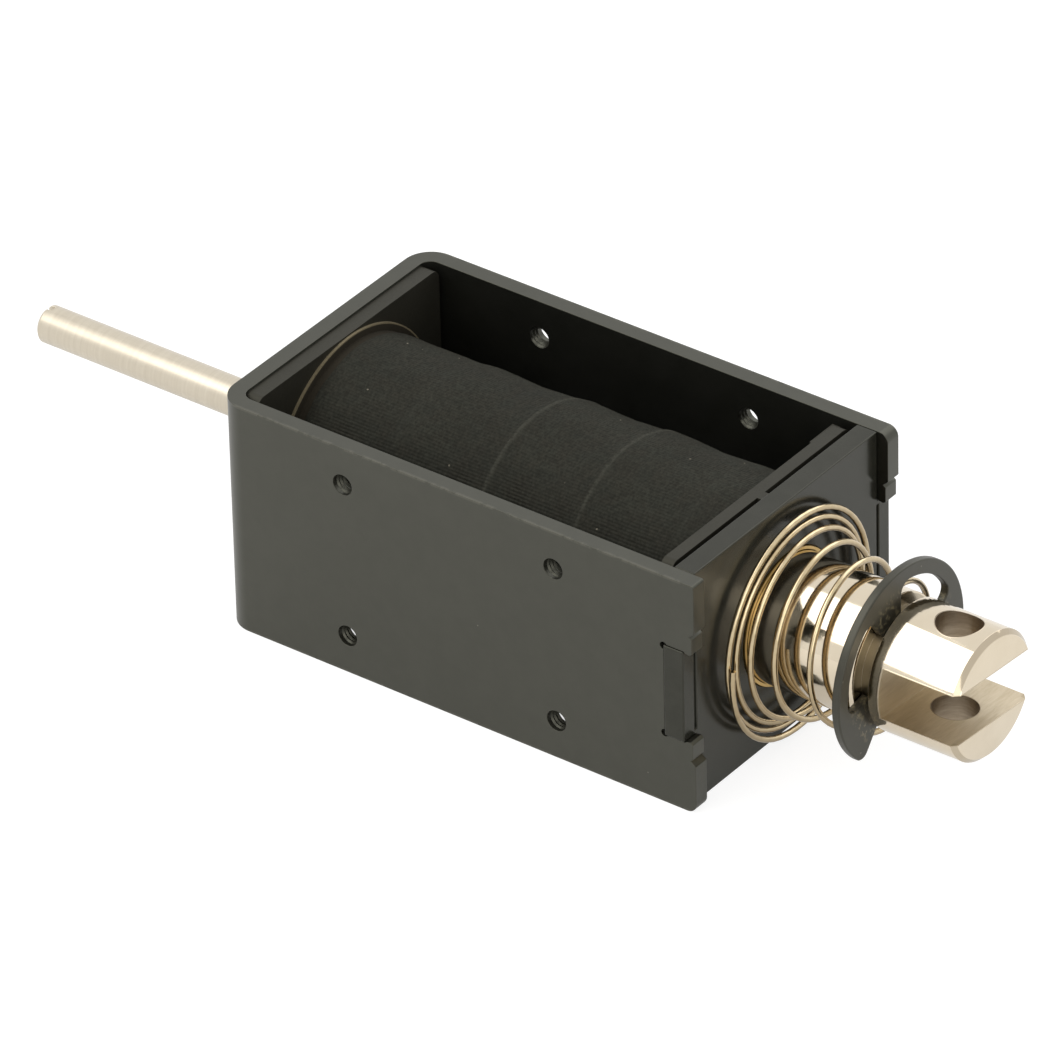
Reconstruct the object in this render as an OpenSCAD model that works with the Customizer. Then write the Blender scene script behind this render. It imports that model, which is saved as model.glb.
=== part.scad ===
// Push-pull solenoid with an open, staked frame.
//
// X runs along the plunger and points out of its clevis end, Y runs across the
// legs and Z is up. The origin is on the plunger's axis, at the outer face of
// the frame's base wall. The push rod leaves through that wall, towards -X.
// All sizes are in millimetres and the plunger stands at rest, fully out.

/* [Frame] */
// Length of the frame, from the base wall's outer face to the ends of the legs
frame_l = 63.45; // [58:0.05:80]
// Width over both legs
frame_w = 37.3; // [36:0.1:46]
// Height of the strip that the frame is bent from
frame_h = 29; // [28:0.5:32.5]
// Thickness of the strip
sheet_t = 2; // [1.4:0.1:2.6]
// Outer radius of the two bends
bend_r = 3.4; // [2.8:0.1:6]
// Rounding of the legs' free corners
leg_corner_r = 1.2; // [0.4:0.1:2.5]
// Rounding of the one corner that is sheared close, at the top of the -Y leg
close_corner_r = 0.3; // [0.1:0.1:2.5]

/* [Fixing holes] */
// Diameter of the tapped holes in the legs
hole_d = 2.5; // [1.6:0.1:4]
// Distance from the base wall's outer face to the first holes
hole_first_x = 17.1; // [12:0.1:22]
// Spacing of the holes along the leg
hole_pitch_x = 28; // [18:0.5:32]
// Spacing of the holes across the leg
hole_pitch_z = 19.5; // [14:0.5:21]

/* [End plate] */
// Thickness of the end plate
plate_t = 2.6; // [1.6:0.1:3]
// How far the legs reach past the plate's outer face
leg_past_plate = 1.35; // [1.2:0.05:3]
// Height of the tab on each side of the plate
tab_h = 11.6; // [6:0.1:14]
// How far the tabs stand out of the legs
tab_proud = 0.15; // [0:0.05:0.5]
// Radius of the relief in the inner corners of the tab notches
notch_relief_r = 0.45; // [0.3:0.05:0.8]
// Depth and width of the line sheared along the root of each tab
tab_line = 0.35; // [0.2:0.05:0.6]
// Height of the lip that each stake pushes over the tab
stake_lip = 0.25; // [0.1:0.05:1]
// Distance from the tab to the punch mark that makes a stake
stake_reach = 2.1; // [1.5:0.1:3]
// Depth of that mark
stake_depth = 0.65; // [0.3:0.05:1]
// How far the punch sets the metal back between its mark and the tab
stake_press = 0.33; // [0.1:0.01:0.6]

/* [Bobbin] */
// Wall of the bobbin's barrel
barrel_wall = 1.2; // [0.8:0.1:2]
// Thickness of the flange at the base wall
base_flange_t = 1.9; // [1.2:0.1:2.6]
// Thickness of the flange at the end plate
front_flange_t = 1.5; // [0.8:0.1:2.2]
// Height of the ribs that hold the front flange off the end plate
flange_rib_h = 0.7; // [0.3:0.1:1.6]
// Width of those ribs
flange_rib_w = 1.4; // [1:0.1:3]
// Gap between the flanges and the legs
flange_side_gap = 0.5; // [0.3:0.1:1.5]
// How far the flanges lie below the frame's top and bottom edges
flange_edge_drop = 0.3; // [0.1:0.1:1]
// Rounding of the flanges' corners
flange_corner_r = 1.2; // [0.5:0.1:3]
// Width of the boss that the winding's ends pass, on the front flange
lead_boss_w = 4.3; // [2:0.1:5]
// Height of that boss
lead_boss_h = 3.2; // [2:0.1:4]
// How far the boss stands out of the flange's inner face
lead_boss_t = 0.5; // [0.3:0.1:1]

/* [Coil] */
// How far the paper washer lies below the frame's top and bottom edges
washer_drop = 0.5; // [0.2:0.05:1.5]
// How far the washer stands out of the cloth tape round it
washer_proud = 0.4; // [0:0.05:1]
// Thickness of the cloth tape
tape_t = 0.5; // [0.3:0.05:1]
// Thickness of the paper wrap under the tape
wrap_t = 0.25; // [0.15:0.05:0.5]
// Thickness of the paper washer at the base flange
end_washer_t = 0.3; // [0.2:0.05:0.8]
// Distance that the tape's end stays off the washer
tape_end_gap = 0.3; // [0.1:0.1:1]

/* [Plunger] */
// Diameter of the plunger
plunger_d = 15; // [12:0.1:16]
// How far the plunger stands out of the end plate
plunger_out = 26.6; // [24:0.05:40]
// Travel inwards until the plunger meets its stop
stroke = 10; // [4:0.5:12]
// Width of the clevis slot
slot_w = 6; // [3:0.1:7]
// Depth of the clevis slot, from the plunger's tip
slot_depth = 9.5; // [7:0.1:10]
// Diameter of the hole for the clevis pin
pin_hole_d = 5.2; // [3:0.1:6]
// Distance of that hole from the plunger's tip
pin_from_tip = 4.7; // [4:0.1:6]
// Chamfer round the plunger's tip
tip_chamfer = 0.6; // [0.2:0.1:1.2]
// Turn of the plunger in its bore, in degrees
plunger_turn_deg = -4.5; // [-20:0.5:20]

/* [Retaining clip] */
// Distance from the plunger's tip to the near wall of the clip's groove
groove_from_tip = 10.85; // [10.5:0.05:14]
// Width of that groove
groove_w = 1.9; // [1.2:0.1:2.4]
// Depth of that groove
groove_depth = 1.5; // [0.8:0.1:2]
// Outer diameter of the clip
clip_d = 23; // [20:0.5:26]
// Thickness of the clip
clip_t = 1; // [0.6:0.1:1.1]
// Width of the clip's outer ring
clip_rim = 1.75; // [1.2:0.05:2.4]
// Width of the clip's middle prong, in degrees
clip_prong_deg = 34; // [24:1:50]
// Angle from the middle prong to the far side of each window
clip_window_end_deg = 84; // [70:1:95]
// Angle from the middle prong to the end of each arm
clip_arm_end_deg = 125; // [110:1:140]
// Direction of the middle prong, from +Y towards +Z
clip_turn_deg = 107; // [0:1:359]

/* [Return spring] */
// Diameter of the spring's wire
wire_d = 0.7; // [0.5:0.05:0.9]
// Centre-line diameter of the spring's wide end
spring_big_d = 27.2; // [24:0.1:27.6]
// Room between the last turn and the plunger
spring_fit = 0.45; // [0.2:0.05:1]
// How far the loose spring stands off the end plate
spring_stand = 0.85; // [0:0.05:1.6]
// How far the loose spring sags on the plunger
spring_sag = 0.15; // [0:0.05:0.4]
// Number of dead turns at the wide end
dead_turns = 1; // [0.75:0.05:1.5]
// Number of turns that the spring works with
live_turns = 4.75; // [4:0.05:7]
// Number of closed turns behind the clip
closed_turns = 0.65; // [0.25:0.05:0.95]
// How much faster the spring narrows at its wide end
taper_power = 1.4; // [1:0.05:2]
// How much the pitch grows towards the narrow end
pitch_power = 2.45; // [1.2:0.05:3]
// How far the wire's free end stands forward of the next turn
end_lift = 0.8; // [0.75:0.05:1.2]
// How far the wire's free end curls in
end_curl = 0.9; // [0:0.1:1.2]
// Angle at which the wire starts, from +Y towards +Z
spring_start_deg = 176; // [0:1:359]

/* [Core and rod] */
// Wall of the brass guide tube
tube_wall = 0.35; // [0.2:0.05:0.6]
// How far the guide tube stands out of the end plate
tube_proud = 0.15; // [0:0.05:0.4]
// Length of the pole piece inside the frame
pole_l = 20; // [14:0.5:24]
// Diameter of the pole piece's rivet in the base wall
rivet_d = 10; // [7:0.1:12]
// Width of the rivet's flare at the base wall's outer face
rivet_flare = 0.6; // [0.2:0.1:1]
// Depth of the conical seat in the pole piece
seat_depth = 3.5; // [2:0.1:5]
// Slope of the conical seat from the axis, in degrees
seat_slope_deg = 42; // [30:1:45]
// Diameter of the flat tip of the plunger's nose
nose_tip_d = 6.4; // [5.8:0.1:7]
// Thickness of the brass shim in the seat
shim_t = 0.5; // [0.3:0.1:1]
// Diameter of the push rod
rod_d = 4.4; // [3:0.1:4.6]
// How far the rod stands out of the base wall
rod_out = 38.7; // [20:0.1:60]
// Chamfer at the rod's tip
rod_chamfer = 0.4; // [0.1:0.1:0.8]
// Length of the rod that is pressed into the plunger
rod_grip = 12; // [6:0.5:16]
// Width of the slot across the rod's tip
rod_slot_w = 0.8; // [0.5:0.1:1.2]
// Depth of that slot
rod_slot_depth = 1; // [0.5:0.1:2]

/* [Fits] */
// Gap on the radius where one piece slides in another
run_gap = 0.08; // [0.02:0.01:0.1]
// Gap on the radius between round pieces that are fixed together
seat_gap = 0.03; // [0.02:0.01:0.05]
// Gap between flat faces that meet when the plunger is fully in
stop_gap = 0.05; // [0.02:0.01:0.1]

/* [Hidden] */

$fn = 64;
eps = 0.5;                                   // how far a cutting tool runs past a face

// Frame and plate
leg_in_y = frame_w / 2 - sheet_t;
plate_out_x = frame_l - leg_past_plate;
plate_in_x = plate_out_x - plate_t;
notch_gap = 0.05;
stake_z = tab_h / 2 + stake_reach;

// Bores and barrels, from the plunger outwards
plunger_r = plunger_d / 2;
tube_in_r = plunger_r + run_gap;
tube_out_r = tube_in_r + tube_wall;
barrel_in_r = tube_out_r + seat_gap;
barrel_out_r = barrel_in_r + barrel_wall;
washer_out_r = frame_h / 2 - washer_drop;
tape_out_r = washer_out_r - washer_proud;
tape_in_r = tape_out_r - tape_t;
wrap_out_r = tape_in_r - seat_gap;
wrap_in_r = wrap_out_r - wrap_t;
winding_out_r = wrap_in_r - seat_gap;

// Places along the bobbin
base_flange_x = sheet_t;
winding_x0 = base_flange_x + base_flange_t + end_washer_t;
front_flange_x = plate_in_x - flange_rib_h - front_flange_t;
flange_half_y = leg_in_y - flange_side_gap;
flange_half_z = frame_h / 2 - flange_edge_drop;

// Magnetic core, nose and rod
rod_r = rod_d / 2;
pole_face_x = sheet_t + pole_l;
seat_floor_x = pole_face_x - seat_depth;
seat_spread = seat_depth * tan(seat_slope_deg);
nose_tip_r = nose_tip_d / 2;
nose_gap = 0.15;                             // gap between the cones when the plunger is in
nose_x = seat_floor_x + shim_t + stop_gap + stroke;

// Plunger's outer end
tip_x = plate_out_x + plunger_out;
groove_out_x = tip_x - groove_from_tip;
groove_in_x = groove_out_x - groove_w;
groove_r = plunger_r - groove_depth;
clip_x = groove_in_x + seat_gap;

// Spring
spring_x0 = plate_out_x + spring_stand + wire_d / 2;
spring_x1 = clip_x - wire_d / 2;
spring_turns = dead_turns + live_turns + closed_turns;
spring_big_r = spring_big_d / 2;
spring_small_r = plunger_r + spring_fit + wire_d / 2;
steps_per_turn = 28;
wire_sides = 8;

// Turns a shape made along +Z so that it lies along +X.
module along_x() rotate([90, 0, 90]) children();

// Cylinder along X, from x0 to x1.
module rod_x(x0, x1, r1, r2) {
    translate([x0, 0, 0]) along_x() cylinder(h = x1 - x0, r1 = r1, r2 = r2);
}

// Round tube along X.
module tube_x(x0, x1, r_out, r_in) {
    translate([x0, 0, 0]) along_x() linear_extrude(x1 - x0)
        difference() {
            circle(r_out);
            circle(r_in);
        }
}

// Rectangle with round corners, centred on the origin.
module round_rect(w, h, r) {
    square([w - 2 * r, h], center = true);
    square([w, h - 2 * r], center = true);
    for (x = [-1, 1], y = [-1, 1])
        translate([x * (w / 2 - r), y * (h / 2 - r)]) circle(r);
}

// Outline of a U-bent strip, seen from above: the base at x = x0, its bends of radius r.
module bent_outline(x0, x1, half_w, r) {
    translate([x0 + r, -half_w]) square([x1 - x0 - r, 2 * half_w]);
    translate([x0, -half_w + r]) square([r + eps, 2 * (half_w - r)]);
    for (side = [-1, 1])
        translate([x0 + r, side * (half_w - r)]) circle(r);
}

// What rounds one free corner of a leg: of the +Y leg if side is 1 and the -Y leg if it is
// -1, at the top if up is 1 and at the bottom if it is -1.
module leg_corner(side, up, r) {
    scale([1, side, up]) translate([frame_l - r, 0, frame_h / 2 - r]) difference() {
        cube([r + eps, frame_w / 2 + eps, r + eps]);
        rotate([90, 0, 0]) cylinder(h = frame_w + 4 * eps, r = r, center = true);
    }
}

// Material that a stake has pushed out of the leg's end, over the tab.
module stake_lips() {
    root_x = plate_out_x + notch_gap;
    for (side = [-1, 1], up = [-1, 1])
        scale([1, 1, up])
            translate([0, side * (frame_w / 2 - sheet_t / 2) + sheet_t / 2, tab_h / 2])
                rotate([90, 0, 0]) linear_extrude(sheet_t) polygon([
                    [root_x, eps],
                    [root_x, -stake_lip / 2],
                    [(root_x + frame_l) / 2, -stake_lip],
                    [frame_l - stake_press, 0],
                    [frame_l - stake_press, eps]
                ]);
}

// Punch mark of one stake, across both legs' ends, and the metal set back beside it.
module stake_mark(up) {
    half_w = stake_depth * 0.8;
    scale([1, 1, up]) translate([0, frame_w / 2 + eps, stake_z]) rotate([90, 0, 0])
        linear_extrude(frame_w + 2 * eps) polygon([
            [frame_l - stake_depth, 0],
            [frame_l + eps, half_w + eps],
            [frame_l + eps, -stake_z],
            [frame_l - stake_press, -stake_z],
            [frame_l - stake_press, -half_w / 2]
        ]);
}

module frame_yoke() {
    color([0.09, 0.09, 0.09]) {
        difference() {
            linear_extrude(frame_h, center = true) difference() {
                bent_outline(0, frame_l, frame_w / 2, bend_r);
                bent_outline(sheet_t, frame_l + 2 * eps, leg_in_y, bend_r - sheet_t);
            }
            // notches for the plate's tabs, with relieved corners
            translate([plate_in_x - notch_gap, -frame_w / 2 - eps, -tab_h / 2])
                cube([frame_l, frame_w + 2 * eps, tab_h]);
            for (up = [-1, 1])
                translate([plate_in_x - notch_gap, 0, up * (tab_h - notch_relief_r) / 2])
                    rotate([90, 0, 0])
                        cylinder(h = frame_w + 2 * eps, r = notch_relief_r, center = true);
            // tapped holes, through both legs
            for (x = [0, hole_pitch_x], z = [-1, 1])
                translate([hole_first_x + x, 0, z * hole_pitch_z / 2]) rotate([90, 0, 0])
                    cylinder(h = frame_w + 2 * eps, d = hole_d, center = true);
            for (up = [-1, 1]) {
                leg_corner(1, up, leg_corner_r);
                leg_corner(-1, up, up > 0 ? close_corner_r : leg_corner_r);
                stake_mark(up);
            }
            // flared hole for the pole piece's rivet
            rod_x(-eps, sheet_t + eps, rivet_d / 2 + seat_gap, rivet_d / 2 + seat_gap);
            rod_x(0, rivet_flare, rivet_d / 2 + seat_gap + rivet_flare, rivet_d / 2 + seat_gap);
        }
        stake_lips();
    }
}

module end_plate() {
    color([0.1, 0.1, 0.1]) difference() {
        union() {
            translate([plate_in_x, -leg_in_y + notch_gap, -frame_h / 2])
                cube([plate_t, 2 * (leg_in_y - notch_gap), frame_h]);
            translate([plate_in_x, -frame_w / 2 - tab_proud, -tab_h / 2 + notch_gap])
                cube([plate_t, frame_w + 2 * tab_proud, tab_h - 2 * notch_gap]);
        }
        rod_x(plate_in_x - eps, plate_out_x + eps, tube_out_r + seat_gap, tube_out_r + seat_gap);
        // line sheared along the root of each tab
        for (side = [-1, 1])
            translate([plate_out_x - tab_line, side * leg_in_y - tab_line / 2,
                       -tab_h / 2 + 2 * tab_line])
                cube([tab_line + eps, tab_line, tab_h - 4 * tab_line]);
    }
}

// One bobbin flange, its lower x face at x.
module flange(x, t) {
    translate([x, 0, 0]) along_x() linear_extrude(t)
        round_rect(2 * flange_half_y, 2 * flange_half_z, flange_corner_r);
}

module bobbin() {
    color([0.06, 0.06, 0.06]) difference() {
        union() {
            rod_x(base_flange_x, plate_in_x, barrel_out_r, barrel_out_r);
            flange(base_flange_x, base_flange_t);
            flange(front_flange_x, front_flange_t);
            // ribs between the front flange and the end plate
            translate([front_flange_x, -flange_rib_w / 2, -flange_half_z])
                cube([front_flange_t + flange_rib_h, flange_rib_w, 2 * flange_half_z]);
            translate([front_flange_x, -flange_half_y, -flange_rib_w / 2])
                cube([front_flange_t + flange_rib_h, 2 * flange_half_y, flange_rib_w]);
            // boss beside the passage of the winding's ends
            translate([front_flange_x - lead_boss_t, flange_half_y - lead_boss_w - flange_corner_r / 4,
                       flange_half_z - lead_boss_h - flange_corner_r / 4])
                cube([lead_boss_t + eps, lead_boss_w, lead_boss_h]);
        }
        rod_x(0, frame_l, barrel_in_r, barrel_in_r);
    }
}

module end_washer() {
    color([0.62, 0.5, 0.33])
        tube_x(base_flange_x + base_flange_t, winding_x0, washer_out_r, barrel_out_r + seat_gap);
}

module coil_winding() {
    color([0.6, 0.28, 0.12])
        tube_x(winding_x0, front_flange_x - seat_gap, winding_out_r, barrel_out_r + seat_gap);
}

module coil_wrap() {
    color([0.6, 0.48, 0.32])
        tube_x(winding_x0, front_flange_x - seat_gap, wrap_out_r, wrap_in_r);
}

// Cloth tape, rolled over at the washer.
module coil_tape() {
    x0 = winding_x0 + tape_end_gap;
    roll_r = tape_t * 0.9;
    color([0.13, 0.13, 0.14]) along_x() rotate_extrude() {
        translate([tape_in_r, x0]) square([tape_t - roll_r, roll_r]);
        translate([tape_in_r, x0 + roll_r])
            square([tape_t, front_flange_x - seat_gap - x0 - roll_r]);
        intersection() {
            translate([tape_out_r - roll_r, x0 + roll_r]) circle(roll_r);
            translate([tape_out_r - roll_r, x0]) square(roll_r);
        }
    }
}

module guide_tube() {
    color([0.75, 0.57, 0.25])
        tube_x(sheet_t, plate_out_x + tube_proud, tube_out_r, tube_in_r);
}

// Fixed core: riveted in the base wall, with a conical seat for the plunger's nose.
module pole_piece() {
    bore_r = rod_r + run_gap;
    floor_r = nose_tip_r + nose_gap;
    color([0.55, 0.55, 0.56]) difference() {
        union() {
            rod_x(sheet_t, pole_face_x, tube_in_r - seat_gap, tube_in_r - seat_gap);
            rod_x(0, sheet_t + eps, rivet_d / 2, rivet_d / 2);
            rod_x(0, rivet_flare, rivet_d / 2 + rivet_flare, rivet_d / 2);
        }
        rod_x(-eps, pole_face_x + eps, bore_r, bore_r);
        rod_x(seat_floor_x, pole_face_x, floor_r, floor_r + seat_spread);
    }
}

module shim() {
    color([0.75, 0.57, 0.25])
        tube_x(seat_floor_x, seat_floor_x + shim_t, nose_tip_r, rod_r + run_gap);
}

module plunger() {
    shoulder_x = nose_x + seat_depth;
    color([0.78, 0.76, 0.72]) rotate([plunger_turn_deg, 0, 0]) difference() {
        union() {
            rod_x(nose_x, shoulder_x, nose_tip_r, nose_tip_r + seat_spread);
            rod_x(shoulder_x, groove_in_x, plunger_r, plunger_r);
            rod_x(groove_in_x - eps, groove_out_x + eps, groove_r, groove_r);
            rod_x(groove_out_x, tip_x - tip_chamfer, plunger_r, plunger_r);
            rod_x(tip_x - tip_chamfer, tip_x, plunger_r, plunger_r - tip_chamfer);
        }
        // seat for the push rod
        rod_x(nose_x - eps, nose_x + rod_grip, rod_r + seat_gap, rod_r + seat_gap);
        // clevis slot and the hole across its two ears
        translate([tip_x - slot_depth, -plunger_d, -slot_w / 2])
            cube([slot_depth + eps, 2 * plunger_d, slot_w]);
        translate([tip_x - pin_from_tip, 0, 0])
            cylinder(h = 2 * plunger_d, d = pin_hole_d, center = true);
    }
}

module push_rod() {
    color([0.75, 0.73, 0.7]) difference() {
        union() {
            rod_x(-rod_out, -rod_out + rod_chamfer, rod_r - rod_chamfer, rod_r);
            rod_x(-rod_out + rod_chamfer, nose_x + rod_grip, rod_r, rod_r);
        }
        translate([-rod_out - eps, -rod_slot_w / 2, -rod_d])
            cube([rod_slot_depth + eps, rod_slot_w, 2 * rod_d]);
    }
}

// Points on an arc round c, from angle a0 to a1.
function arc(c, r, a0, a1, steps) =
    [for (i = [0 : steps]) let (a = a0 + (a1 - a0) * i / steps) c + r * [cos(a), sin(a)]];

// Window between the middle prong and one arm's tip, on the side of positive angles.
module clip_window(r_out) {
    corner = 1.3;
    centre_r = r_out - corner;
    round_deg = asin(corner / centre_r);
    a0 = clip_prong_deg / 2 + round_deg;
    a1 = clip_window_end_deg - round_deg;
    polygon(concat(
        [[0, 0]],
        arc(centre_r * [cos(a0), sin(a0)], corner, a0 - round_deg - 90, a0, 6),
        arc([0, 0], r_out, a0 + 2, a1 - 2, 12),
        arc(centre_r * [cos(a1), sin(a1)], corner, a1, a1 + round_deg + 90, 6)
    ));
}

// What is cut beyond the end of one arm, which keeps a rounded outer corner.
module clip_arm_end(r_out, r_in) {
    corner = 1.2;
    over = 0.02;                             // how far the rounding runs past the rim
    centre_r = r_out + over - corner;
    a1 = clip_arm_end_deg;
    a0 = a1 - asin(corner / centre_r);
    far = 2 * r_out;
    polygon(concat(
        [(r_in - eps) * [cos(a1 - 4), sin(a1 - 4)], (r_in + eps) * [cos(a1), sin(a1)]],
        arc(centre_r * [cos(a0), sin(a0)], corner, a1 + 90, a0, 6),
        [for (a = [a0, 155, 181]) far * [cos(a), sin(a)]],
        [[-r_in + eps, 0]]
    ));
}

module retaining_clip() {
    out_r = clip_d / 2;
    in_r = groove_r + seat_gap;
    color([0.17, 0.17, 0.17]) translate([clip_x, 0, 0]) along_x() linear_extrude(clip_t)
        rotate(clip_turn_deg) difference() {
            circle(out_r);
            circle(in_r);
            for (side = [0, 1]) mirror([0, side, 0]) {
                clip_window(out_r - clip_rim);
                clip_arm_end(out_r, in_r);
            }
        }
}

// Place along X of the wire's centre after t turns.
function wire_x(t) =
    let (v = max(0, min(1, (t - dead_turns) / live_turns)))
    spring_x0 + (spring_x1 - spring_x0) * pow(v, pitch_power)
        + end_lift * max(0, 1 - 2 * t / dead_turns);

// Radius of the wire's centre line after t turns.
function wire_r(t) =
    spring_small_r + (spring_big_r - spring_small_r) * pow(max(0, 1 - t / spring_turns), taper_power)
        - end_curl * pow(max(0, 1 - 3 * t), 2);

// Ring of points round the wire after t turns, in the plane of the axis at that angle.
function wire_ring(t) =
    let (a = spring_start_deg + 360 * t)
    [for (k = [0 : wire_sides - 1])
        let (b = 360 * k / wire_sides,
             r = wire_r(t) + wire_d / 2 * cos(b))
        [wire_x(t) + wire_d / 2 * sin(b), r * cos(a), r * sin(a)]];

module return_spring() {
    n = round(spring_turns * steps_per_turn);
    m = wire_sides;
    points = [for (i = [0 : n]) each wire_ring(i / n * spring_turns)];
    sides = [for (i = [0 : n - 1], k = [0 : m - 1])
        [i * m + k, i * m + (k + 1) % m, (i + 1) * m + (k + 1) % m, (i + 1) * m + k]];
    start = [for (k = [m - 1 : -1 : 0]) k];
    end = [for (k = [0 : m - 1]) n * m + k];
    color([0.7, 0.66, 0.58]) translate([0, 0, -spring_sag])
        polyhedron(points, concat(sides, [start, end]), convexity = 20);
}

frame_yoke();
end_plate();
bobbin();
end_washer();
coil_winding();
coil_wrap();
coil_tape();
guide_tube();
pole_piece();
shim();
plunger();
push_rod();
retaining_clip();
return_spring();
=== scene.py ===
"""Push pull solenoid: the finished look of every piece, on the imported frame.

X runs along the plunger and out of its clevis end, Y runs across the frame's
legs and Z is up. Sizes are in metres; MM turns millimetres into metres.
"""

import math

import bmesh
import bpy
from mathutils import Matrix, Quaternion, Vector, noise


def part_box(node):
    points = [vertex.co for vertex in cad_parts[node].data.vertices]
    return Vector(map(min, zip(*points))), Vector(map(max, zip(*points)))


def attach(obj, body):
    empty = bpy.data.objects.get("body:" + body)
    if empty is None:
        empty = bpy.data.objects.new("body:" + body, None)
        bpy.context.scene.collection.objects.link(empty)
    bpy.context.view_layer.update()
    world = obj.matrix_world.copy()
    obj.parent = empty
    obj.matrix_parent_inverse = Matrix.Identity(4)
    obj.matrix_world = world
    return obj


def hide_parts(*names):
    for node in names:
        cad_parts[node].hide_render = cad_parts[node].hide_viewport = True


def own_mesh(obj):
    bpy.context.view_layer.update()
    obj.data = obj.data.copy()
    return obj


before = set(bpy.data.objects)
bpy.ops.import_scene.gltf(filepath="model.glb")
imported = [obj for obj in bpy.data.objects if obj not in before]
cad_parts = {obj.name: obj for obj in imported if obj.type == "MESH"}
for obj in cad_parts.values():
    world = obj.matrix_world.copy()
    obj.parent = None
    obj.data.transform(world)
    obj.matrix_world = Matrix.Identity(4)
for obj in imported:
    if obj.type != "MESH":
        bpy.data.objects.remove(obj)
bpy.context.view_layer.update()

MM = 0.001

# ---------------------------------------------------------------- camera
CAMERA_PLACE = Vector((0.65891, -0.82319, 0.69119))
CAMERA_AZIMUTH = math.radians(37.46)
CAMERA_HEIGHT = math.radians(33.77)
CAMERA_ROLL = math.radians(-1.41)
CAMERA_LENS = 391.2

# the plunger's turn in its bore, and the places of its cuts from the tip, in millimetres
PLUNGER_TURN = math.radians(4.5)
PLUNGER_SINE = math.sin(PLUNGER_TURN)
PLUNGER_COSINE = math.cos(PLUNGER_TURN)
SLOT_DEPTH = 9.5
SLOT_HALF = 3.0
PIN_FROM_TIP = 4.7
PIN_R = 2.6
GROOVE_OUT = 10.85
GROOVE_IN = 12.75
TIP_CHAMFER = 0.6
BARREL_R = 7.5

scene = bpy.context.scene
scene.view_settings.view_transform = "Standard"


def add_camera():
    data = bpy.data.cameras.new("camera")
    data.lens = CAMERA_LENS
    data.sensor_width = 36
    data.clip_start, data.clip_end = 0.01, 20
    camera = bpy.data.objects.new("camera", data)
    scene.collection.objects.link(camera)
    back = Vector((math.sin(CAMERA_AZIMUTH) * math.cos(CAMERA_HEIGHT),
                   -math.cos(CAMERA_AZIMUTH) * math.cos(CAMERA_HEIGHT),
                   math.sin(CAMERA_HEIGHT)))
    turn = (-back).to_track_quat("-Z", "Y") @ Quaternion((0, 0, 1), CAMERA_ROLL)
    camera.location = CAMERA_PLACE
    camera.rotation_mode = "QUATERNION"
    camera.rotation_quaternion = turn
    scene.camera = camera


# ---------------------------------------------------------------- finishes
class Value:
    """A number or colour that a node tree works out at each point of a surface."""

    def __init__(self, shading, socket):
        self.shading = shading
        self.socket = socket

    def _math(self, operation, *terms):
        return self.shading.node("Math", {"operation": operation}, dict(enumerate(terms)))

    def __add__(self, other):
        return self._math("ADD", self, other)

    def __sub__(self, other):
        return self._math("SUBTRACT", self, other)

    def __rsub__(self, other):
        return self._math("SUBTRACT", other, self)

    def __mul__(self, other):
        return self._math("MULTIPLY", self, other)

    def __truediv__(self, other):
        return self._math("DIVIDE", self, other)

    def __rtruediv__(self, other):
        return self._math("DIVIDE", other, self)

    def __pow__(self, other):
        return self._math("POWER", self, other)

    __radd__ = __add__
    __rmul__ = __mul__

    def above(self, edge, width=0.001):
        """0 below edge, 1 above it, over a soft step of that width."""
        return self.shading.node(
            "MapRange", {"interpolation_type": "SMOOTHSTEP"},
            {"Value": self, "From Min": edge - width / 2, "From Max": edge + width / 2})

    def below(self, edge, width=0.001):
        return 1 - self.above(edge, width)

    def sine(self):
        return self._math("SINE", self)

    def size(self):
        return self._math("ABSOLUTE", self)

    def lesser(self, other):
        return self._math("MINIMUM", self, other)

    def greater(self, other):
        return self._math("MAXIMUM", self, other)


class Shading:
    """A node tree, and the one way in which nodes are added to it."""

    def __init__(self, tree):
        self.tree = tree

    def node(self, kind, settings=None, values=None, out=0):
        made = self.tree.nodes.new("ShaderNode" + kind)
        for key, value in (settings or {}).items():
            setattr(made, key, value)
        for key, value in (values or {}).items():
            self.join(made.inputs[key], value)
        return Value(self, made.outputs[out])

    def join(self, socket, value):
        if isinstance(value, Value):
            self.tree.links.new(value.socket, socket)
        else:
            socket.default_value = value

    def rays_seen(self):
        """1 for a ray that comes from the camera, a mirror or a clear surface."""
        rays = ("Is Camera Ray", "Is Glossy Ray", "Is Transmission Ray")
        seen = [self.node("LightPath", out=name) for name in rays]
        return (seen[0] + seen[1] + seen[2]).lesser(1)


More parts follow.
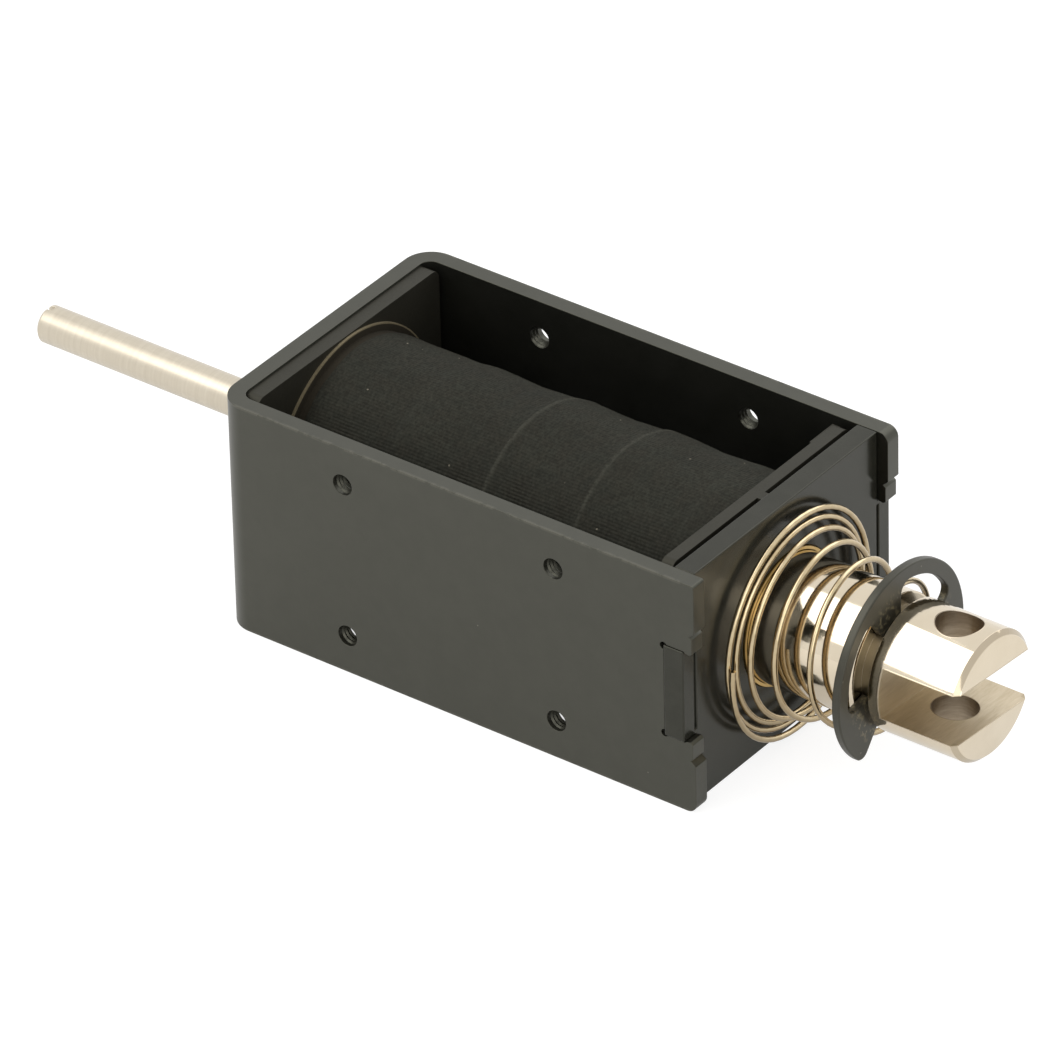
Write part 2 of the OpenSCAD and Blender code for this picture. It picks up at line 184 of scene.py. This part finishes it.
class Finish(Shading):
    """One material."""

    def __init__(self, name, roughness=0.5, metallic=0.0, **constants):
        self.material = bpy.data.materials.new(name)
        self.material.use_nodes = True
        super().__init__(self.material.node_tree)
        self.shader = self.tree.nodes["Principled BSDF"]
        self.set("Roughness", roughness)
        self.set("Metallic", metallic)
        for socket, number in constants.items():
            self.set(socket.replace("_", " ").title().replace("Ior", "IOR"), number)

    def set(self, socket, value):
        self.join(self.shader.inputs[socket], value)

    # places on the surface
    def place(self, scale=(1, 1, 1), turn=(0, 0, 0), move=(0, 0, 0)):
        spot = self.node("TexCoord", out="Object")
        return self.node("Mapping", {}, {"Vector": spot, "Scale": scale, "Rotation": turn,
                                         "Location": move})

    def axes(self):
        """The surface point's x, y and z, in millimetres."""
        spot = self.node("TexCoord", out="Object")
        parts = self.node("SeparateXYZ", {}, {"Vector": spot})
        outs = parts.socket.node.outputs
        return [Value(self, outs[i]) * (1 / MM) for i in range(3)]

    def radius(self):
        """Distance from the plunger's axis, in millimetres."""
        x, y, z = self.axes()
        return (y * y + z * z) ** 0.5

    def facing_up(self):
        """How far the surface faces up, from -1 to 1."""
        normal = self.node("NewGeometry", out="Normal")
        return self.node("SeparateXYZ", {}, {"Vector": normal}, out="Z")

    # patterns, all about 0.5 on average
    def noise(self, per_mm, detail=3.0, rough=0.55, stretch=(1, 1, 1), warp=0.0, turn=(0, 0, 0)):
        scale = tuple(s / MM for s in stretch)
        return self.node("TexNoise", {}, {"Vector": self.place(scale, turn), "Scale": per_mm,
                                          "Detail": detail, "Roughness": rough,
                                          "Distortion": warp})

    def specks(self, per_mm, radius_mm, share):
        """Scattered specks: 1 inside them, in that share of the pattern's cells."""
        settings = {"feature": "F1"}
        values = {"Vector": self.place((1 / MM, 1 / MM, 1 / MM)), "Scale": per_mm}
        away = self.node("TexVoronoi", settings, values)
        cell = Value(self, away.socket.node.outputs["Color"])
        pick = self.node("SeparateXYZ", {}, {"Vector": cell})
        return away.below(radius_mm * per_mm, 0.4 * radius_mm * per_mm) * pick.below(share, 0.01)

    def blend(self, amount, first, second):
        return self.node("Mix", {"data_type": "RGBA"},
                         {"Factor": amount, 6: tone(first), 7: tone(second)}, out=2)

    def grow(self, height, depth_mm, strength=1.0, under=None):
        """A bump of that depth over a height from 0 to 1."""
        values = {"Height": height, "Distance": depth_mm * MM, "Strength": strength}
        if under is not None:
            values["Normal"] = under
        return self.node("Bump", {}, values)


def tone(colour):
    return colour if isinstance(colour, Value) else (*colour, 1)


def black_enamel(name, high, shade_within, shine, roughness):
    """Baked enamel on sheet steel: faint orange peel, dust, and rubbed corners that carry a painted
    edge highlight.

    The third argument is how far out the inner faces lie; painted shade keeps them blacker than the
    rest.
    """
    f = Finish(name, specular_ior_level=shine, specular_tint=(1, 1, 0.82, 1))
    x, y, z = f.axes()
    cloud = f.noise(0.09, 2)
    mottle = f.noise(0.45, 3, 0.6)
    rubbed = f.noise(0.8, 4, 0.65)
    corner = z.size().above(high.z / MM - 0.25, 0.2) * y.size().above(high.y / MM - 0.3, 0.15)
    # rubbed paint on the outer corners, lighter in part as a painted edge highlight
    rubbed_and_highlit = corner * rubbed.above(0.47, 0.12)
    # painted shade: the inner faces between the legs are darkened where shade falls
    painted_inner_shade = y.size().below(shade_within + 0.1, 0.1) * x.above(SHEET + 0.01, 0.01)
    painted_inner_shade = painted_inner_shade * z.size().below(high.z / MM - 0.1, 0.1)
    colour = f.blend(0.5 * cloud + 0.5 * mottle.above(0.5, 0.5), (0.0155, 0.0155, 0.0122),
                     (0.0255, 0.0253, 0.0202))
    colour = f.blend(painted_inner_shade * 0.75, colour, (0.0012, 0.0014, 0.0014))
    colour = f.blend(f.specks(0.35, 0.09, 0.30) * 0.7, colour, (0.17, 0.16, 0.13))
    colour = f.blend(rubbed_and_highlit * 0.35, colour, (0.10, 0.095, 0.078))
    f.set("Base Color", colour)
    f.set("Roughness", roughness + 0.10 * cloud + 0.08 * mottle)
    f.set("Normal", f.grow(mottle, 0.010, under=f.grow(f.noise(5, 2), 0.0010)))
    return f.material


def moulded_black():
    f = Finish("moulded_black", specular_ior_level=0.36, specular_tint=(1, 0.98, 0.80, 1))
    grain = f.noise(4, 3, 0.6)
    f.set("Base Color", f.blend(f.noise(0.2, 2), (0.0110, 0.0104, 0.0078), (0.0210, 0.0198, 0.0150)))
    f.set("Roughness", 0.42 + 0.2 * grain)
    f.set("Normal", f.grow(grain, 0.006, under=f.grow(f.noise(0.8, 2), 0.02)))
    return f.material


def tan_paper(name, unshaded_r):
    """Fish paper, tan where it is cut, with painted shade darkening it nearer than the given radius
    to the winding.
    """
    f = Finish(name, specular_ior_level=0.2)
    fibre = f.noise(3.0, 5, 0.7, stretch=(1, 1, 0.3))
    # painted shade: the paper is darkened nearer the winding, where the flange and tape shade it
    painted_shade_ring = f.radius().below(unshaded_r, 0.08)
    colour = f.blend(fibre, (0.120, 0.098, 0.058), (0.245, 0.208, 0.132))
    f.set("Base Color", f.blend(painted_shade_ring * 0.93, colour, (0.010, 0.008, 0.005)))
    f.set("Roughness", 0.72 + 0.2 * fibre)
    f.set("Normal", f.grow(fibre, 0.01))
    return f.material


def wound_copper(first_x, wire):
    """Enamelled wire, wound in turns side by side."""
    f = Finish("wound_copper", metallic=1.0)
    x = f.axes()[0]
    turns = ((x - first_x) * (2 * math.pi / wire)).sine() * 0.5 + 0.5
    f.set("Base Color", f.blend(turns, (0.16, 0.045, 0.012), (0.62, 0.25, 0.085)))
    f.set("Roughness", 0.24 + 0.1 * f.noise(1.5, 2))
    f.set("Normal", f.grow(turns, wire * 0.35))
    return f.material


def cloth_tape():
    """Black cotton tape: dull, faded on its ribs, frayed pale where it laps over itself, with a
    painted highlight along those seams.
    """
    f = Finish("cloth_tape", specular_ior_level=0.15)
    x, y, z = f.axes()
    r = f.radius()
    thread = f.noise(0.35, 3, 0.6, stretch=(0.3, 1, 1))
    stain = f.noise(0.5, 3, 0.6)
    weft = f.noise(3.4, 3, 0.6, stretch=(1, 0.6, 0.6))
    frayed = f.noise(1.6, 4, 0.7)
    colour = f.blend(thread, (0.0175, 0.0180, 0.0136), (0.0385, 0.0395, 0.0300))
    colour = f.blend(stain.above(0.5, 0.3) * 0.5, colour, (0.0290, 0.0262, 0.0190))
    colour = f.blend(weft.above(0.5, 0.4) * 0.55, colour, (0.0088, 0.0088, 0.0070))
    for place, step, fold in TAPE_SEAMS:
        side, top = math.cos(place) * TAPE_LEAN, math.sin(place) * TAPE_LEAN
        # pale fraying along each seam, with a painted highlight stronger where the seam's fold stands
        # higher
        seam_fray_and_highlight = (x - place - (y * side + z * top) / r + 0.6 * (frayed - 0.5)).size().below(0.20, 0.40)
        colour = f.blend(seam_fray_and_highlight * frayed.above(0.44, 0.40) * (2.4 * fold), colour, (0.072, 0.072, 0.057))
    colour = f.blend(f.specks(0.5, 0.11, 0.35) * 0.8, colour, (0.20, 0.18, 0.14))
    f.set("Base Color", colour)
    f.set("Roughness", 0.70 + 0.25 * weft)
    f.set("Normal", f.grow(weft, 0.05))
    return f.material


def bright_brass():
    f = Finish("bright_brass", metallic=1.0)
    stain = f.noise(0.6, 3, 0.6)
    f.set("Base Color", f.blend(stain, (0.60, 0.39, 0.13), (0.80, 0.58, 0.25)))
    f.set("Roughness", 0.2 + 0.2 * stain)
    f.set("Normal", f.grow(f.noise(6, 2, stretch=(1, 0.1, 0.1)), 0.002))
    return f.material


def turned_steel():
    f = Finish("turned_steel", metallic=1.0)
    stain = f.noise(0.5, 3)
    cuts = ((f.radius() + 0.15 * stain) * (2 * math.pi / 0.4)).sine() * 0.5 + 0.5
    f.set("Base Color", f.blend(0.6 * stain + 0.4 * cuts, (0.30, 0.29, 0.27), (0.52, 0.51, 0.48)))
    f.set("Roughness", 0.26 + 0.2 * stain)
    f.set("Normal", f.grow(cuts, 0.01))
    return f.material


def bright_nickel(tip):
    """Nickel plate, mirror bright round the barrel and finely machined in the clevis."""
    f = Finish("bright_nickel", metallic=1.0)
    x, y, z = f.axes()
    up = PLUNGER_SINE * y + PLUNGER_COSINE * z
    across = PLUNGER_COSINE * y - PLUNGER_SINE * z
    r = f.radius()
    cloud = f.noise(0.25, 3)
    cut = f.noise(4.5, 3, 0.6, stretch=(0.9, 0.10, 1), turn=(0, 0, math.radians(28)))
    pull = f.noise(1.1, 4, 0.7, stretch=(1, 0.12, 1), turn=(0, 0, math.radians(34)))
    bored = f.noise(3.2, 3, 0.6, stretch=(0.15, 0.15, 1))
    milled = x.above(tip - SLOT_DEPTH - 0.2, 0.2) * up.size().below(SLOT_HALF + 0.1, 0.1)
    to_pin = x - (tip - PIN_FROM_TIP)
    drilled = ((to_pin * to_pin + across * across) ** 0.5).below(PIN_R + 0.08, 0.08)
    shaded_groove = x.above(tip - GROOVE_IN, 0.1) * x.below(tip - GROOVE_OUT, 0.1)
    shaded_groove = shaded_groove * r.below(BARREL_R - 0.2, 0.1)
    broken = x.above(tip - TIP_CHAMFER, 0.05) * x.below(tip - 0.08, 0.05)
    broken = broken * r.above(BARREL_R - TIP_CHAMFER - 0.05, 0.05)
    colour = f.blend(cloud, (0.68, 0.585, 0.44), (0.79, 0.70, 0.555))
    colour = f.blend(broken * 0.5, colour, (0.30, 0.24, 0.16))
    colour = f.blend(milled * (0.30 + 0.35 * cut + pull.above(0.50, 0.4) * 0.2), colour,
                     (0.37, 0.30, 0.19))
    # the bore: bored marks, darkened further by painted shade inside the pin hole
    colour = f.blend(drilled * (0.55 + 0.45 * bored), colour, (0.20, 0.15, 0.10))
    # painted shade: the groove floor under the retaining ring is darkened
    colour = f.blend(shaded_groove * 0.8, colour, (0.10, 0.085, 0.05))
    worked = milled.greater(drilled)
    f.set("Base Color", colour)
    f.set("Roughness", 0.06 + 0.06 * cloud + worked * (0.20 + 0.2 * cut) + 0.2 * shaded_groove)
    height = (cut * milled).greater(bored * drilled)
    f.set("Normal", f.grow(height, 0.03, under=f.grow(f.noise(0.35, 2), 0.006)))
    return f.material


def satin_rod():
    """Centreless-ground rod: fine marks round it under thin nickel."""
    f = Finish("satin_rod", metallic=1.0)
    ground = f.noise(2.6, 4, 0.65, stretch=(1, 0.06, 0.06))
    drawn = f.noise(1.2, 3, 0.6, stretch=(0.04, 1, 1))
    f.set("Base Color", f.blend(ground, (0.54, 0.48, 0.38), (0.70, 0.64, 0.53)))
    f.set("Roughness", 0.26 + 0.16 * drawn)
    f.set("Normal", f.grow(ground, 0.004))
    return f.material


def ring_steel():
    """Phosphated spring steel of the retaining ring."""
    f = Finish("ring_steel", specular_ior_level=0.62, specular_tint=(1, 0.98, 0.82, 1))
    cloud = f.noise(0.5, 4, 0.6)
    worn = f.radius().below(BARREL_R + 1.7, 1.5) * f.noise(1.4, 4, 0.7).above(0.56, 0.1)
    colour = f.blend(cloud, (0.011, 0.011, 0.0080), (0.028, 0.026, 0.0195))
    colour = f.blend(worn * 0.6, colour, (0.20, 0.17, 0.10))
    f.set("Base Color", f.blend(f.specks(0.6, 0.10, 0.4) * 0.6, colour, (0.22, 0.20, 0.16)))
    f.set("Roughness", 0.30 + 0.16 * cloud)
    f.set("Normal", f.grow(f.noise(3, 3), 0.004))
    return f.material


def drawn_wire():
    f = Finish("drawn_wire", metallic=1.0)
    streak = f.noise(1.2, 3, 0.6)
    # painted shade: the wire's downward-facing side is darkened
    painted_underside_shade = f.facing_up().below(0.0, 1.6)
    colour = f.blend(streak, (0.50, 0.385, 0.215), (0.74, 0.62, 0.42))
    f.set("Base Color", f.blend(painted_underside_shade * 0.6, colour, (0.15, 0.10, 0.05)))
    f.set("Roughness", 0.12 + 0.12 * streak)
    f.set("Normal", f.grow(f.noise(5, 2), 0.002))
    return f.material


# ---------------------------------------------------------------- shaping
def finished(name, mesh, body, material, slot, *nodes):
    """Puts a finished mesh in the scene, on its body, in place of the CAD nodes named."""
    piece = bpy.data.objects.new(name, mesh)
    scene.collection.objects.link(piece)
    mesh.materials.clear()
    mesh.materials.append(material)
    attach(piece, body)
    if nodes:
        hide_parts(*nodes)
    return piece


def smooth(mesh, angle=32):
    for face in mesh.polygons:
        face.use_smooth = True
    mesh.set_sharp_from_angle(angle=math.radians(angle))


def dressed(name, node, body, material, slot, edge=0.0, segments=3, angle=38):
    """A copy of a CAD node with its flat faces made whole and its edges rounded."""
    work = bmesh.new()
    work.from_mesh(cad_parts[node].data)
    bmesh.ops.remove_doubles(work, verts=work.verts, dist=0.0005 * MM)
    bmesh.ops.dissolve_limit(work, angle_limit=math.radians(0.4), verts=work.verts,
                             edges=work.edges, delimit={"NORMAL"})
    mesh = bpy.data.meshes.new(name)
    work.to_mesh(mesh)
    work.free()
    smooth(mesh)
    piece = finished(name, mesh, body, material, slot, node)
    if edge:
        rounding = piece.modifiers.new("edges", "BEVEL")
        rounding.width = edge * MM
        rounding.segments = segments
        rounding.limit_method = "ANGLE"
        rounding.angle_limit = math.radians(angle)
        rounding.use_clamp_overlap = True
        rounding.harden_normals = True
    return piece


def repaint(node, material):
    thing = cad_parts[node]
    thing.data.materials.clear()
    thing.data.materials.append(material)


# ---------------------------------------------------------------- spring
DEAD_TURNS = 1.0
LIVE_TURNS = 4.75
CLOSED_TURNS = 0.65
WIRE = 0.7
BIG_R = 13.6
SPRING_FIT = 0.45
SPRING_SAG = 0.15
TAPER_POWER = 1.4
PITCH_POWER = 2.45
END_LIFT = 0.8
END_CURL = 0.9
START_DEG = 176


def spring_path(turn, low_x, high_x, small_r):
    """Centre of the wire after that many turns."""
    live = max(0.0, min(1.0, (turn - DEAD_TURNS) / LIVE_TURNS))
    x = low_x + (high_x - low_x) * live ** PITCH_POWER
    x += END_LIFT * max(0.0, 1 - 2 * turn / DEAD_TURNS)
    wound = turn / (DEAD_TURNS + LIVE_TURNS + CLOSED_TURNS)
    r = small_r + (BIG_R - small_r) * max(0.0, 1 - wound) ** TAPER_POWER
    r -= END_CURL * max(0.0, 1 - 3 * turn) ** 2
    a = math.radians(START_DEG + 360 * turn)
    return Vector((x, r * math.cos(a), r * math.sin(a) - SPRING_SAG)) * MM


def spring_mesh(low_x, high_x, small_r, steps=56, sides=12):
    turns = DEAD_TURNS + LIVE_TURNS + CLOSED_TURNS
    count = round(turns * steps)

    def placed(i):
        here = spring_path(i / count * turns, low_x, high_x, small_r)
        ahead = spring_path((i + 0.05) / count * turns, low_x, high_x, small_r)
        along = (ahead - here).normalized()
        side = along.cross(Vector((1, 0, 0))).normalized()
        up = along.cross(side)
        return Matrix.Translation(here) @ Matrix((side, up, along)).transposed().to_4x4()

    work = bmesh.new()
    bmesh.ops.create_circle(work, cap_ends=True, segments=sides, radius=WIRE / 2 * MM,
                            matrix=placed(0))
    rim = list(work.edges)
    for i in range(count):
        made = bmesh.ops.extrude_edge_only(work, edges=rim)["geom"]
        rim_verts = [g for g in made if isinstance(g, bmesh.types.BMVert)]
        new = set(rim_verts)
        rim = [g for g in made if isinstance(g, bmesh.types.BMEdge)
               and g.verts[0] in new and g.verts[1] in new]
        bmesh.ops.transform(work, matrix=placed(i + 1) @ placed(i).inverted(), verts=rim_verts)
    bmesh.ops.contextual_create(work, geom=rim)
    bmesh.ops.recalc_face_normals(work, faces=work.faces)
    mesh = bpy.data.meshes.new("conical_spring")
    work.to_mesh(mesh)
    work.free()
    smooth(mesh, 60)
    return mesh


# ---------------------------------------------------------------- tape and threads
RIB_PITCH = 0.4
RIB_HEIGHT = 0.06
TAPE_BACK = 1.2                              # depth from the tape's face to its inner side
TAPE_SLACK = 0.78                            # how much thinner the first layer is than the last
TAPE_LEAN = 0.7                              # how far a seam strays along the coil
TAPE_SEAMS = ((17.4, 0.28, 0.03), (30.2, 0.20, 0.20), (42.0, 0.24, 0.20), (53.0, 0.06, 0.05))


def tape_swell(x, a, full_r):
    """Radius of the wound tape at a place along the coil and an angle round it."""
    r = full_r - TAPE_SLACK
    for place, step, fold in TAPE_SEAMS:
        near = x - place - TAPE_LEAN * math.sin(a + place)
        r += step / (1 + math.exp(-3.0 * near))
        r += fold * math.exp(-(near / 0.45) ** 2)
        r -= 0.16 * math.exp(-((near - 6.0) / 3.0) ** 2)
    lumps = noise.noise(Vector((x * 0.22, math.cos(a) * 2.2, math.sin(a) * 2.2)))
    pulls = noise.noise(Vector((x * 0.9, math.cos(a) * 5, math.sin(a) * 5 + 7)))
    return max(full_r - TAPE_SLACK - 0.02, min(full_r, r + 0.14 * lumps + 0.05 * pulls))


def tape_mesh(low_x, high_x, full_r):
    """The taped coil: a ribbed sleeve that swells between the tape's seams."""
    ribs = round(2 * math.pi * full_r / RIB_PITCH)
    steps = 4 * ribs
    rings = 72
    roll = 0.45
    work = bmesh.new()
    inner_r = full_r - TAPE_BACK
    stations = [low_x + (high_x - low_x) * i / rings for i in range(rings + 1)]
    profile = [work.verts.new((high_x * MM, 0, inner_r * MM)),
               work.verts.new((low_x * MM, 0, inner_r * MM))]
    profile += [work.verts.new((x * MM, 0, full_r * MM)) for x in stations]
    edges = [work.edges.new(pair) for pair in zip(profile, profile[1:] + profile[:1])]
    bmesh.ops.spin(work, geom=profile + edges, cent=(0, 0, 0), axis=(1, 0, 0),
                   angle=2 * math.pi, steps=steps, use_merge=True)
    for v in work.verts:
        x, r, a = v.co.x / MM, math.hypot(v.co.y, v.co.z) / MM, math.atan2(v.co.y, v.co.z)
        if r < inner_r + 0.1:
            continue
        r = tape_swell(x, a, full_r - RIB_HEIGHT)
        ribbed = min(1.0, (x - low_x) / 1.5) * (0.30 + 0.70 * abs(math.sin(a)))
        ribbed *= 0.8 + 0.6 * noise.noise(Vector((0.25 * x, 3 * math.sin(a), 3 * math.cos(a))))
        r += RIB_HEIGHT * math.cos(ribs * a) * min(1.0, ribbed)
        away = max(0.0, 1 - (x - low_x) / roll)
        r -= roll * (1 - math.sqrt(1 - away * away))
        v.co.y, v.co.z = r * math.sin(a) * MM, r * math.cos(a) * MM
    bmesh.ops.recalc_face_normals(work, faces=work.faces)
    mesh = bpy.data.meshes.new("cloth_wrap")
    work.to_mesh(mesh)
    work.free()
    smooth(mesh, 50)
    return mesh


HOLE_FIRST_X = 17.1
HOLE_PITCH_X = 28.0
HOLE_PITCH_Z = 19.5
HOLE_R = 1.25
THREAD_PITCH = 0.5
THREAD_DEPTH = 0.16
SHEET = 2.0


def leg_holes(low, high):
    """The outer end of each tapped hole, and the way into the leg."""
    return [(Vector((HOLE_FIRST_X + across, side * high.y / MM, up * HOLE_PITCH_Z / 2)), -side)
            for across in (0, HOLE_PITCH_X) for side in (-1, 1) for up in (-1, 1)]


def thread_mesh(holes, steps=24):
    """A helical ridge round the inside of each hole."""
    work = bmesh.new()
    turns = round((SHEET - 0.5) / THREAD_PITCH)
    for place, inward in holes:
        half = THREAD_PITCH * 0.42
        start = place.y + inward * (0.25 + half)
        ridge = [work.verts.new(Vector((place.x, start + along, place.z + r)) * MM)
                 for r, along in ((HOLE_R - 0.005, -half), (HOLE_R - THREAD_DEPTH, 0),
                                  (HOLE_R - 0.005, half))]
        edges = [work.edges.new(pair) for pair in zip(ridge, ridge[1:] + ridge[:1])]
        first = work.faces.new(ridge)
        made = bmesh.ops.spin(work, geom=edges, cent=place * MM, axis=(0, 1, 0),
                              dvec=(0, inward * THREAD_PITCH * MM / steps, 0),
                              angle=2 * math.pi * turns, steps=steps * turns)
        bmesh.ops.contextual_create(work, geom=[g for g in made["geom_last"]
                                                if isinstance(g, bmesh.types.BMEdge)])
    bmesh.ops.recalc_face_normals(work, faces=work.faces)
    mesh = bpy.data.meshes.new("screw_threads")
    work.to_mesh(mesh)
    work.free()
    smooth(mesh, 40)
    return mesh


# ---------------------------------------------------------------- studio
FLOOR_GAP = 0.05 * MM


def add_studio(floor_z):
    floor_mesh = bpy.data.meshes.new("floor")
    work = bmesh.new()
    bmesh.ops.create_grid(work, x_segments=1, y_segments=1, size=3,
                          matrix=Matrix.Translation((0, 0, floor_z)))
    work.to_mesh(floor_mesh)
    work.free()
    floor = bpy.data.objects.new("floor", floor_mesh)
    scene.collection.objects.link(floor)
    f = Finish("white_table", roughness=1.0)
    f.set("Base Color", (0.8, 0.8, 0.8, 1))
    f.set("Specular IOR Level", 0.0)
    glow = f.node("Emission", {}, {"Color": (1, 1, 1, 1), "Strength": 0.42})
    bright_glow = f.node("Emission", {}, {"Color": (1, 1, 1, 1), "Strength": 0.84})
    matt = f.node("BsdfDiffuse", {}, {"Color": (0.55, 0.55, 0.55, 1)})
    dim_matt = f.node("BsdfDiffuse", {}, {"Color": (0.30, 0.30, 0.30, 1)})
    mirrored = f.node("AddShader", {}, {0: glow, 1: matt})
    watched = f.node("AddShader", {}, {0: bright_glow, 1: dim_matt})
    shown = f.node("MixShader", {}, {"Fac": f.node("LightPath", out="Is Camera Ray"),
                                     1: mirrored, 2: watched})
    plain = Value(f, f.shader.outputs[0])
    mixed = f.node("MixShader", {}, {"Fac": f.rays_seen(), 1: plain, 2: shown})
    output = next(n for n in f.tree.nodes if n.type == "OUTPUT_MATERIAL")
    f.join(output.inputs["Surface"], mixed)
    floor_mesh.materials.append(f.material)

    world = bpy.data.worlds.new("white_room")
    scene.world = world
    world.use_nodes = True
    room = Shading(world.node_tree)
    dim = room.tree.nodes["Background"]
    room.join(dim.inputs["Color"], (1, 1, 1, 1))
    room.join(dim.inputs["Strength"], 0.62)
    white = room.node("Background", {}, {"Color": (1, 1, 1, 1), "Strength": 1.0})
    mixed = room.node("MixShader", {}, {"Fac": room.rays_seen(),
                                         1: Value(room, dim.outputs[0]), 2: white})
    room.join(room.tree.nodes["World Output"].inputs["Surface"], mixed)

    for name, place, size, power, warm in (
            ("key_lamp", (-0.50, -0.55, 1.00), 1.3, 9.0, (1, 0.98, 0.95)),
            ("fill_lamp", (1.00, -0.75, 0.60), 1.0, 4.0, (1, 0.97, 0.93)),
            ("back_lamp", (0.1, 1.1, 0.85), 1.2, 5.0, (1, 1, 1))):
        data = bpy.data.lights.new(name, "AREA")
        data.shape = "SQUARE"
        data.size = size
        data.energy = power
        data.color = warm
        lamp = bpy.data.objects.new(name, data)
        scene.collection.objects.link(lamp)
        lamp.location = place
        lamp.rotation_mode = "QUATERNION"
        lamp.rotation_quaternion = (Vector((0.03, 0, 0)) - lamp.location).to_track_quat("-Z", "Y")


# ---------------------------------------------------------------- making
add_camera()

yoke_low, yoke_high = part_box("frame_yoke")
plate_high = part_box("end_plate")[1]
tape_low, tape_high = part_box("coil_tape")
plunger_low, plunger_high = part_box("plunger")
clip_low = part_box("retaining_clip")[0]
winding_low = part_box("coil_winding")[0]

leg_in = yoke_high.y / MM - SHEET
enamel = black_enamel("black_enamel", yoke_high, leg_in, shine=0.66, roughness=0.25)
plate_enamel = black_enamel("plate_enamel", plate_high, 0, shine=0.34, roughness=0.12)
washer_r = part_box("end_washer")[1].z / MM
brass = bright_brass()
tip_x = plunger_high.x / MM
plunger_r = (plunger_high.y - plunger_low.y) / 2 / MM

dressed("frame_strip", "frame_yoke", "frame", enamel, "black_steel", edge=0.28)
dressed("front_plate", "end_plate", "frame", plate_enamel, "black_steel", edge=0.2)
dressed("coil_former", "bobbin", "frame", moulded_black(), "black_plastic", edge=0.15, segments=2)
finished("cloth_wrap", tape_mesh(tape_low.x / MM, tape_high.x / MM, washer_r),
         "frame", cloth_tape(), "black_cloth_tape", "coil_tape")
finished("screw_threads", thread_mesh(leg_holes(yoke_low, yoke_high)), "frame", enamel,
         "black_steel")
dressed("riveted_core", "pole_piece", "frame", turned_steel(), "core_steel", edge=0.1, segments=2)
dressed("sliding_plunger", "plunger", "plunger",
        bright_nickel(tip_x), "nickel_plate", edge=0.12)
dressed("pushing_rod", "push_rod", "plunger", satin_rod(), "rod_steel", edge=0.06, segments=2)
dressed("keeper_ring", "retaining_clip", "clip", ring_steel(), "dark_ring_steel", edge=0.2)

repaint("end_washer", tan_paper("washer_paper", washer_r - 0.16))
repaint("coil_wrap", tan_paper("wrap_paper", washer_r))
repaint("coil_winding", wound_copper(winding_low.x / MM, 0.4))
repaint("guide_tube", brass)
repaint("shim", brass)

spring_low_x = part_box("return_spring")[0].x / MM + WIRE / 2
spring_high_x = clip_low.x / MM - WIRE / 2
spring = finished("conical_spring",
                  spring_mesh(spring_low_x, spring_high_x, plunger_r + SPRING_FIT + WIRE / 2),
                  "frame", drawn_wire(), "spring_wire", "return_spring")
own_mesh(spring)

add_studio(yoke_low.z - FLOOR_GAP)
